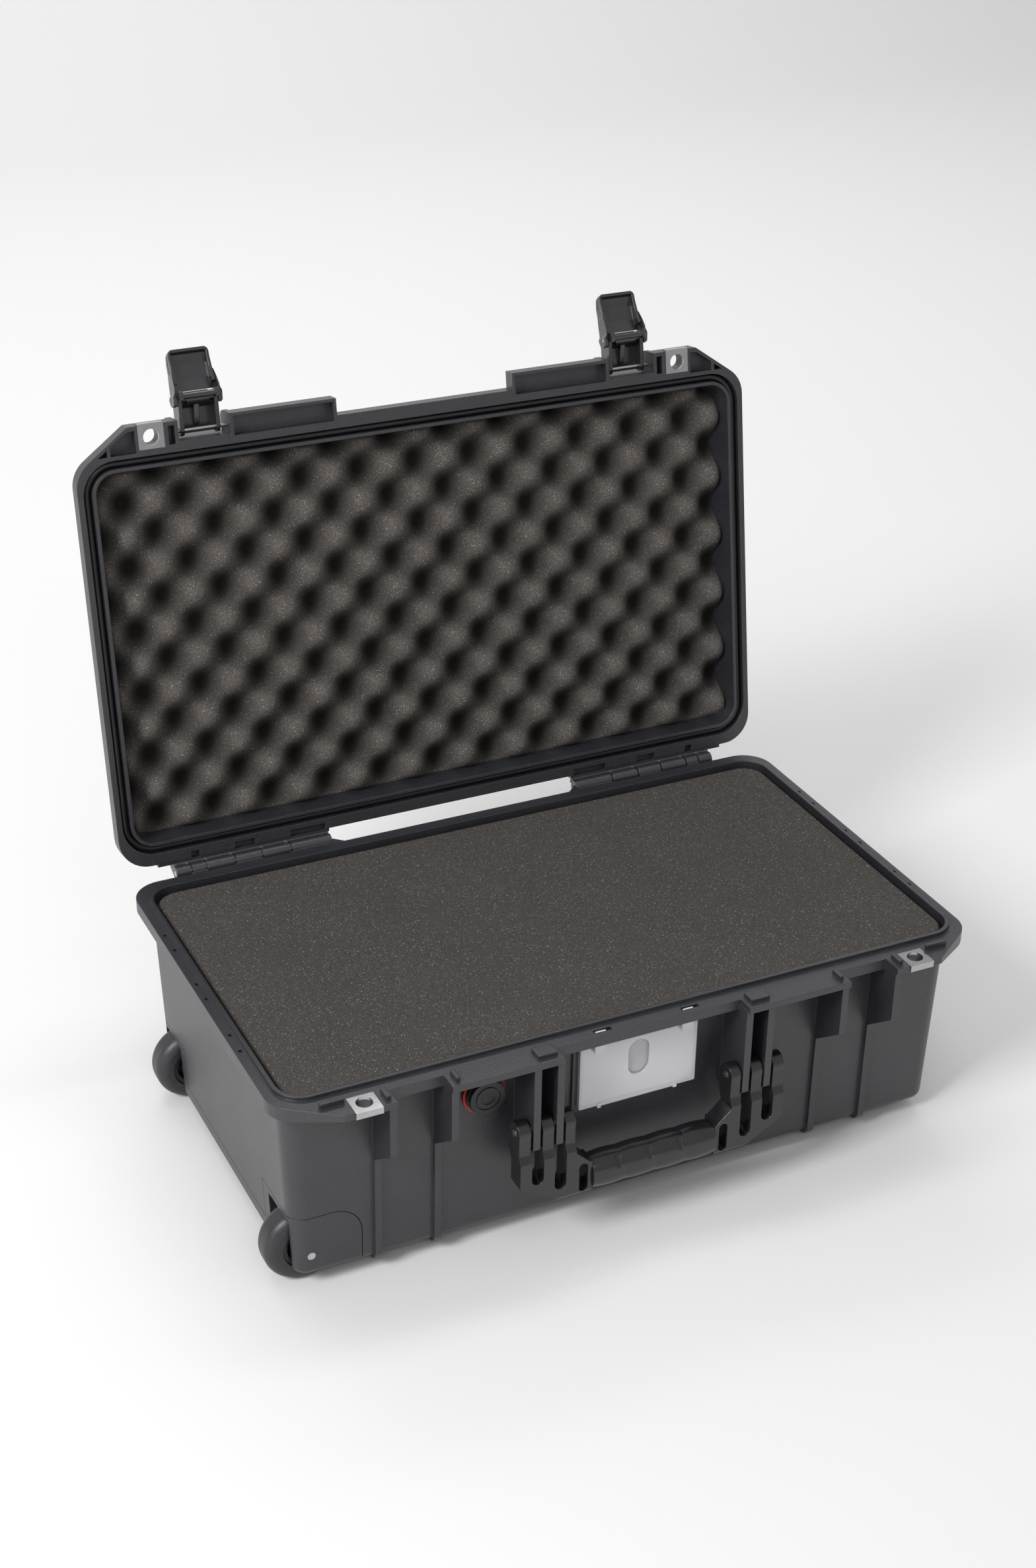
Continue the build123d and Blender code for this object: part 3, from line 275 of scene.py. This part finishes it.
def metal(name, colour, roughness, grain_scale=(1.0, 1.0, 60.0)):
    """Brushed metal, its lines along one axis."""
    material, tree, shader = new_material(name, metallic=1.0)
    coords = add(tree, "TexCoord")
    stretch = tree.nodes.new("ShaderNodeMapping")
    stretch.inputs["Scale"].default_value = grain_scale
    tree.links.new(coords.outputs["Object"], stretch.inputs["Vector"])
    lines = noise(tree, stretch.outputs["Vector"], 90.0, 6.0, 0.7)
    tree.links.new(scaled(tree, lines, roughness - 0.08, roughness + 0.14), shader.inputs["Roughness"])
    stain = ramp(tree, noise(tree, coords.outputs["Object"], 55.0, 4.0), 0.35, 0.75)
    dark = tuple(c * 0.82 for c in colour)
    tree.links.new(blend_colours(tree, stain, colour, dark), shader.inputs["Base Color"])
    tree.links.new(bump(tree, lines, 0.01 * MM), shader.inputs["Normal"])
    return material


def foam(name, colour, pale, fleck, roughness=0.95, dips=None, fleck_share=0.8):
    """Foam finish; dips is the painted shade colour that the bottoms and sides of an egg-crate blend to by their
    depth.
    """
    material, tree, shader = new_material(name, Specular_IOR_Level=0.12)
    cell = use_group(tree, FOAM, Pore_Size=900.0)
    tone = ramp(tree, cell.outputs["Tone"], 0.25, 0.75)
    base = blend_colours(tree, tone, colour, pale)
    dark = tuple(c * 0.45 for c in colour)
    pored = blend_colours(tree, math_node(tree, "MULTIPLY", cell.outputs["Pore"], 0.8), base, dark)
    shown = math_node(tree, "MULTIPLY", cell.outputs["Fleck"], fleck_share)
    flecked = blend_colours(tree, shown, pored, fleck)
    # Painted shade: the bottoms of the dips and the sheet's sides blend towards the dips colour by their depth.
    if dips:
        depth = tree.nodes.new("ShaderNodeAttribute")
        depth.attribute_name = "dip_depth"
        dip_shade_mask = ramp(tree, depth.outputs["Fac"], 0.18, 0.92)
        flecked = blend_colours(tree, dip_shade_mask, flecked, dips)
    tree.links.new(flecked, shader.inputs["Base Color"])
    tree.links.new(scaled(tree, cell.outputs["Tone"], roughness - 0.06, roughness + 0.04),
                   shader.inputs["Roughness"])
    tree.links.new(bump(tree, cell.outputs["Height"], 0.35 * MM, 0.7), shader.inputs["Normal"])
    return material


def clear_plastic_painted_sheen(name):
    # The half diffuse near-white base is painted sheen that stands in for the cover's reflections.
    material, tree, shader = new_material(
        name, Transmission_Weight=0.5, IOR=1.46, Base_Color=(0.95, 0.95, 0.97, 1.0))
    coords = add(tree, "TexCoord")
    haze = noise(tree, coords.outputs["Object"], 70.0, 5.0, 0.6)
    tree.links.new(scaled(tree, haze, 0.02, 0.14), shader.inputs["Roughness"])
    return material


def card_stock(name):
    material, tree, shader = new_material(name, Specular_IOR_Level=0.3)
    coords = add(tree, "TexCoord")
    fibre = noise(tree, coords.outputs["Object"], 600.0, 5.0, 0.65)
    tone = ramp(tree, fibre, 0.3, 0.75)
    tree.links.new(blend_colours(tree, tone, (0.42, 0.42, 0.44), (0.48, 0.48, 0.50)),
                   shader.inputs["Base Color"])
    tree.links.new(scaled(tree, fibre, 0.5, 0.7), shader.inputs["Roughness"])
    tree.links.new(bump(tree, fibre, 0.02 * MM), shader.inputs["Normal"])
    return material


SHELL = moulded("shell_polymer", (0.010, 0.010, 0.0128), (0.015, 0.015, 0.0185), 0.38, 1300.0, 0.10, 0.6,
                specular=0.8, edge=0.8 * MM, speckle=0.5)
LINK = moulded("latch_polymer", (0.007, 0.007, 0.008), (0.011, 0.011, 0.013), 0.24, 2600.0, 0.015, 0.3,
               specular=1.0, edge=0.9 * MM)
HANDLE = moulded("handle_polymer", (0.007, 0.007, 0.008), (0.011, 0.011, 0.012), 0.18, 2400.0, 0.015, 0.3,
                 specular=0.7, edge=1.0 * MM)
GRIP = moulded("grip_overmould", (0.006, 0.006, 0.007), (0.010, 0.010, 0.011), 0.20, 2600.0, 0.015, 0.3,
               specular=0.7, edge=0.9 * MM)
TYRE = moulded("tyre_rubber", (0.018, 0.018, 0.020), (0.028, 0.028, 0.031), 0.45, 1300.0, 0.05, 0.8)
HUB = moulded("hub_plastic", (0.012, 0.012, 0.014), (0.020, 0.020, 0.022), 0.38, 2000.0, 0.03, 0.6)
VALVE = moulded("valve_plastic", (0.007, 0.007, 0.008), (0.014, 0.014, 0.015), 0.33, 2400.0, 0.03, 0.4,
                edge=0.4 * MM)
BUTTON = moulded("button_plastic", (0.07, 0.07, 0.075), (0.09, 0.09, 0.095), 0.4, 2400.0, 0.03, 0.3)
SEAL_RED = moulded("valve_seal_rubber", (0.42, 0.022, 0.014), (0.52, 0.035, 0.022), 0.5, 2600.0, 0.02, 0.3)
GASKET = moulded("gasket_rubber", (0.006, 0.006, 0.007), (0.011, 0.011, 0.012), 0.28, 2800.0, 0.01, 0.3)
STEEL = metal("pin_steel", (0.62, 0.62, 0.63), 0.26)
PLATE = metal("plate_steel", (0.50, 0.50, 0.51), 0.20, (40.0, 1.0, 1.0))
TUBE = metal("tube_aluminium", (0.70, 0.71, 0.73), 0.30, (1.0, 40.0, 40.0))
CLEAR = clear_plastic_painted_sheen("cover_clear")
CARD = card_stock("card_paper")
BASE_FOAM = foam("base_foam_cells", (0.074, 0.067, 0.062), (0.090, 0.082, 0.076), (0.46, 0.43, 0.41),
                 fleck_share=0.85)
# The lid foam's dips colour is painted shade for the egg-crate's dips and sides.
LID_FOAM = foam("lid_foam_cells", (0.118, 0.107, 0.098), (0.142, 0.129, 0.118), (0.54, 0.50, 0.47),
                dips=(0.012, 0.011, 0.010))

FINISH = {
    "shell": SHELL, "latch": LINK, "handle": HANDLE, "grip": GRIP, "tyre": TYRE, "hub": HUB,
    "vent": VALVE, "button": BUTTON, "red_seal": SEAL_RED, "gasket": GASKET, "steel": STEEL,
    "plate": PLATE, "tube": TUBE, "clear": CLEAR, "card": CARD, "base_foam": BASE_FOAM,
    "lid_foam": LID_FOAM,
}


def dress_cad_nodes():
    """Gives each CAD node the finish of its record slot."""
    slots = {s["node"]: s["material_slot"] for s in frame["record"]["subparts"]}
    for name, node in NODES.items():
        node.data.materials.clear()
        node.data.materials.append(FINISH[slots[name]])


dress_cad_nodes()


# ---- mesh helpers ------------------------------------------------------------------
def to_object(name, mesh_maker, material, smooth=True):
    bm = bmesh.new()
    mesh_maker(bm)
    bmesh.ops.recalc_face_normals(bm, faces=bm.faces)
    mesh = bpy.data.meshes.new(name)
    bm.to_mesh(mesh)
    bm.free()
    if smooth:
        mesh.shade_smooth()
    mesh.materials.append(material)
    obj = bpy.data.objects.new(name, mesh)
    bpy.context.scene.collection.objects.link(obj)
    return obj


def round_rect(half_x, half_y, corner, steps=8):
    """Points round a rounded rectangle, anticlockwise from +X."""
    points = []
    for cx, cy, start in ((1, 1, 0), (-1, 1, 90), (-1, -1, 180), (1, -1, 270)):
        for k in range(steps + 1):
            turn = math.radians(start + 90.0 * k / steps)
            points.append((cx * (half_x - corner) + corner * math.cos(turn),
                           cy * (half_y - corner) + corner * math.sin(turn)))
    return points


# ---- foam -----------------------------------------------------------------------------
HINGE = JOINTS["lid_hinge"]
HINGE_AT = Vector(HINGE["pos_m"])
CREST_ROW = 47.3 * MM           # egg-crate pitch along the case and across it
CREST_COLUMN = 49.6 * MM
CREST_X = -169.0 * MM
CREST_Y = -117.0 * MM
CREST_Z = 164.2 * MM            # tips of the egg-crate, lid closed
CREST_DEPTH = 20.5 * MM
CRATE_SHEET = 21.0 * MM         # tips to the straight side of the sheet
CRATE_TAPER_X = 0.024           # share that the back is smaller than the front
CRATE_TAPER_Y = 0.040
FOAM_BACK_Z = 209.8 * MM
LID_OPEN = math.radians(98.9)   # from closed to open, as built
BLOCK_HALF = (258.0 * MM, 138.5 * MM)   # foam blocks inside the tub
TOP_HALF = (265.2 * MM, 145.3 * MM)     # wider top of the upper block, in the tub's mouth
STEP_Z = 149.4 * MM             # where the upper block widens
WHEEL_WELL = (-203.5 * MM, -76.5 * MM)  # inner corner of a wheel well, at -X and -Y


def opened(place):
    """A point of the closed lid, in the open lid's place."""
    turn = Matrix.Rotation(-LID_OPEN, 3, "X")
    return turn @ (Vector(place) - HINGE_AT) + HINGE_AT


def inside_corner(x, y, half_x, half_y, corner):
    """Pulls a point in to a rounded rectangle's corner arc."""
    cx = half_x - corner
    cy = half_y - corner
    if abs(x) <= cx or abs(y) <= cy:
        return x, y
    out = Vector((abs(x) - cx, abs(y) - cy))
    if out.length > corner:
        out = out.normalized() * corner
    return math.copysign(cx + out.x, x), math.copysign(cy + out.y, y)


def crate_rise(x, y):
    """0 at an egg-crate tip, 1 at the bottom of a dip."""
    wave = math.cos(2 * math.pi * (x - CREST_X) / CREST_ROW) * math.cos(
        2 * math.pi * (y - CREST_Y) / CREST_COLUMN)
    low = 0.5 - 0.5 * wave
    return low ** 1.12


def lid_egg_crate(bm):
    """Convoluted foam: tips and dips that face the base when closed, over a flat back."""
    half_x, half_y, corner = 263.2 * MM, 143.6 * MM, 16.0 * MM
    columns, rows = 210, 118
    # Dip depth is kept on the mesh; the foam material paints shade in the dips from it.
    dip_shade_mask = bm.verts.layers.float.new("dip_depth")
    grid = []
    for j in range(rows + 1):
        line = []
        for i in range(columns + 1):
            x = half_x * (2 * i / columns - 1)
            y = half_y * (2 * j / rows - 1)
            px, py = inside_corner(x, y, half_x, half_y, corner)
            uneven = 0.5 * MM * math.sin(31 * px + 2.1) * math.sin(43 * py + 0.6)
            near = min(half_x - abs(px), half_y - abs(py))
            droop = 1.6 * MM * max(0.0, 1 - near / (5 * MM)) ** 2
            z = CREST_Z + CREST_DEPTH * crate_rise(px, py) + uneven + droop + 0.3 * MM
            line.append(bm.verts.new(opened((px, py, z))))
            line[-1][dip_shade_mask] = crate_rise(px, py)
        grid.append(line)
    for j in range(rows):
        for i in range(columns):
            bm.faces.new((grid[j][i], grid[j][i + 1], grid[j + 1][i + 1], grid[j + 1][i]))
    walk = [(0, i) for i in range(columns + 1)] + [(j, columns) for j in range(1, rows + 1)]
    walk = walk + [(rows, i) for i in range(columns - 1, -1, -1)] + [(j, 0) for j in range(rows - 1, 0, -1)]
    edge = [grid[j][i] for j, i in walk]
    side_z = CREST_Z + CRATE_SHEET
    rims = [edge]
    for share in (0.35, 1.0):
        ring = []
        for j, i in walk:
            x, y = inside_corner(half_x * (2 * i / columns - 1), half_y * (2 * j / rows - 1),
                                 half_x, half_y, corner)
            ring.append(bm.verts.new(opened((x * (1 - CRATE_TAPER_X * share), y * (1 - CRATE_TAPER_Y * share),
                                             side_z + (FOAM_BACK_Z - side_z) * share))))
        # The sheet's sides take the full painted dip shade.
        for vert in ring:
            vert[dip_shade_mask] = 1.0
        rims.append(ring)
    for near, far in zip(rims, rims[1:]):
        for k in range(len(edge)):
            m = (k + 1) % len(edge)
            bm.faces.new((near[k], near[m], far[m], far[k]))
    bm.faces.new(rims[-1])
    bmesh.ops.remove_doubles(bm, verts=bm.verts, dist=0.02 * MM)


def notched(outline, well):
    """Cuts the two corners at -X out of an outline; well is the inner corner of one wheel well."""
    if not well:
        return outline
    x, y = well[0], abs(well[1])
    edge_x = min(p[0] for p in outline)
    edge_y = max(p[1] for p in outline)
    front = [p for p in outline if p[0] > x and p[1] < 0]
    back = [p for p in outline if p[0] > x and p[1] > 0]
    steps = [(x, edge_y), (x, y), (edge_x, y), (edge_x, -y), (x, -y), (x, -edge_y)]
    return back + steps + front


def foam_slab(low_z, high_z, half_x, half_y, corner, soft, crown, well=None):
    """Sheet of cut foam: rounded top edge, sides that draw in a little, uneven top."""
    def build(bm):
        outline = notched(round_rect(half_x, half_y, corner, 10), well)
        straight = high_z - soft - low_z
        sides = [(0.0, low_z)] + [(0.35 * MM * math.sin(math.pi * k / 6), low_z + straight * k / 6)
                                  for k in range(1, 6)]
        rings = []
        for inset, z in sides:
            rings.append([bm.verts.new((x * (1 - inset / half_x), y * (1 - inset / half_y), z))
                          for x, y in outline])
        for k in range(6):
            turn = math.radians(90.0 * k / 5)
            inset = soft * (1 - math.cos(turn))
            z = high_z - soft * (1 - math.sin(turn))
            rings.append([bm.verts.new((x * (1 - inset / half_x), y * (1 - inset / half_y), z))
                          for x, y in outline])
        for share in (0.96, 0.9, 0.8, 0.65, 0.5, 0.35, 0.2, 0.08):
            ring = []
            for x, y in outline:
                px, py = x * share, y * share
                bulge = crown * (1 - share) + 0.25 * MM * math.sin(29 * px + 1.0) * math.sin(37 * py)
                ring.append(bm.verts.new((px, py, high_z - crown * 0.5 + bulge * 0.5)))
            rings.append(ring)
        count = len(outline)
        for near, far in zip(rings, rings[1:]):
            for k in range(count):
                m = (k + 1) % count
                bm.faces.new((near[k], near[m], far[m], far[k]))
        bm.faces.new(rings[-1])
        bm.faces.new(list(reversed(rings[0])))
    return build


def add_foam():
    crate = to_object("egg_crate_foam", lid_egg_crate, LID_FOAM)
    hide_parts("lid_foam")
    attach(crate, "lid")
    low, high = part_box("base_foam_upper")
    top = to_object("base_top_foam", foam_slab(STEP_Z + 0.2 * MM, high.z, *TOP_HALF, 17 * MM,
                                               2.2 * MM, 0.4 * MM), BASE_FOAM)
    blocks = [top]
    for name, node in (("base_upper_foam", "base_foam_upper"), ("base_lower_foam", "base_foam_lower"),
                       ("base_pad_foam", "base_foam_pad")):
        low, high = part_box(node)
        high_z = STEP_Z if node == "base_foam_upper" else high.z
        well = None if node == "base_foam_upper" else WHEEL_WELL
        blocks.append(to_object(name, foam_slab(low.z, high_z, *BLOCK_HALF, 12 * MM,
                                                2.0 * MM, 0.3 * MM, well), BASE_FOAM))
        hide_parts(node)
    for piece in blocks:
        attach(piece, "base")


add_foam()


# ---- floor, light, camera ---------------------------------------------------------------
def make_stage():
    floor_z = CAD_LOW.z
    material, tree, shader = new_material("studio_floor", Roughness=0.75, Specular_IOR_Level=0.2)
    shader.inputs["Base Color"].default_value = (0.66, 0.656, 0.652, 1.0)

    def sweep(bm):
        depth, rise, turn = 3.0, 5.0, 1.6
        profile = [(-6.0, 0.0), (depth, 0.0)]
        for k in range(1, 13):
            a = math.radians(90.0 * k / 12)
            profile.append((depth + turn * math.sin(a), turn * (1 - math.cos(a))))
        profile.append((depth + turn, rise))
        rows = [[bm.verts.new((x, y, z + floor_z)) for y, z in profile] for x in (-9.0, 9.0)]
        for k in range(len(profile) - 1):
            bm.faces.new((rows[0][k], rows[1][k], rows[1][k + 1], rows[0][k + 1]))

    floor = to_object("studio_floor", sweep, material)


def add_light(name, place, target, size, power, colour=(1.0, 1.0, 1.0)):
    light = bpy.data.lights.new(name, "AREA")
    light.shape = "RECTANGLE"
    light.size, light.size_y = size
    light.energy = power
    light.color = colour
    obj = bpy.data.objects.new(name, light)
    obj.location = place
    obj.rotation_euler = (Vector(target) - Vector(place)).to_track_quat("-Z", "Y").to_euler()
    bpy.context.scene.collection.objects.link(obj)


def light_scene():
    world = bpy.data.worlds.new("studio_air")
    world.use_nodes = True
    world.node_tree.nodes["Background"].inputs["Color"].default_value = (0.95, 0.95, 0.965, 1.0)
    world.node_tree.nodes["Background"].inputs["Strength"].default_value = 0.55
    bpy.context.scene.world = world
    add_light("key_softbox", (-2.5, -1.0, 2.2), (0.0, 0.0, 0.1), (1.0, 1.0), 97.0)
    add_light("front_strip", (-1.0, -2.4, 2.2), (0.0, -0.1, 0.1), (2.0, 0.35), 16.0)
    add_light("rim_softbox", (0.2, 2.8, 3.0), (0.0, 0.2, 0.3), (2.6, 1.0), 24.0)
    add_light("backdrop_wash", (0.2, 1.0, 4.2), (0.6, 4.4, 1.8), (3.0, 2.0), 122.0)
    bpy.context.scene.view_settings.view_transform = "Standard"
    bpy.context.scene.view_settings.exposure = 0.0


def add_camera():
    data = bpy.data.cameras.new("product_camera")
    data.lens = 55.04
    data.sensor_width = 36.0
    data.shift_x = -0.0030
    data.shift_y = 0.0032
    data.clip_start, data.clip_end = 0.05, 40.0
    camera = bpy.data.objects.new("product_camera", data)
    camera.location = (-0.7024, -1.38554, 1.10786)
    camera.rotation_euler = Euler([math.radians(a) for a in (61.4409, -0.8994, -25.6226)], "XYZ")
    bpy.context.scene.collection.objects.link(camera)
    bpy.context.scene.camera = camera


make_stage()
light_scene()
add_camera()
